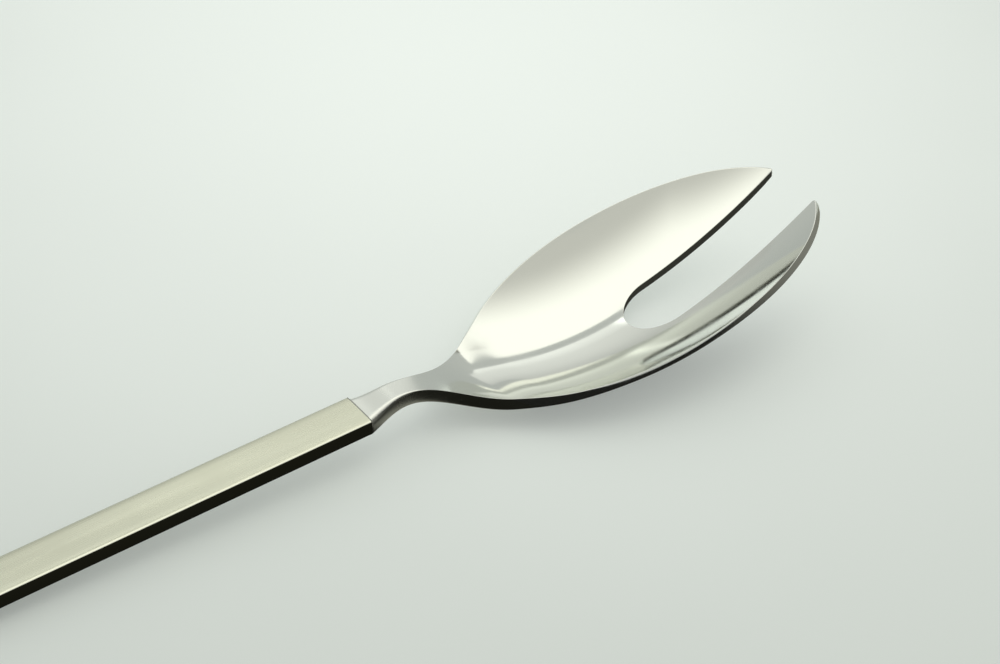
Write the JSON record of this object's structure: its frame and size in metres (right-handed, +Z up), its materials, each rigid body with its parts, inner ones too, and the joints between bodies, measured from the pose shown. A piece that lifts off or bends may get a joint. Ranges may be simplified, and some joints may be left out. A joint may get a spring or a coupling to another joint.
{
  "type": "salad server",
  "caption": "Slim salad server: a dished oval fork head split by a wide slot into tines, on a straight flat hollow handle, for lifting and tossing salad.",
  "frame": {"origin": "on the table under the middle of the server's length and width, as it lies on the belly of the bowl and the butt of the handle", "axes": "+X from the butt to the tips, +Y to the left of someone looking along +X, +Z up out of the bowl"},
  "size_m": [0.2576, 0.0474, 0.0258],
  "materials": {
    "polished_steel": "mirror-polished stainless steel",
    "satin_steel": "satin stainless steel brushed along the handle",
    "cement": "dull resin cement, out of sight"
  },
  "bodies": {
    "root": {"fork_head": "polished_steel", "handle_upper_shell": "satin_steel", "handle_lower_shell": "satin_steel", "handle_filler": "cement"}
  },
  "joints": []
}
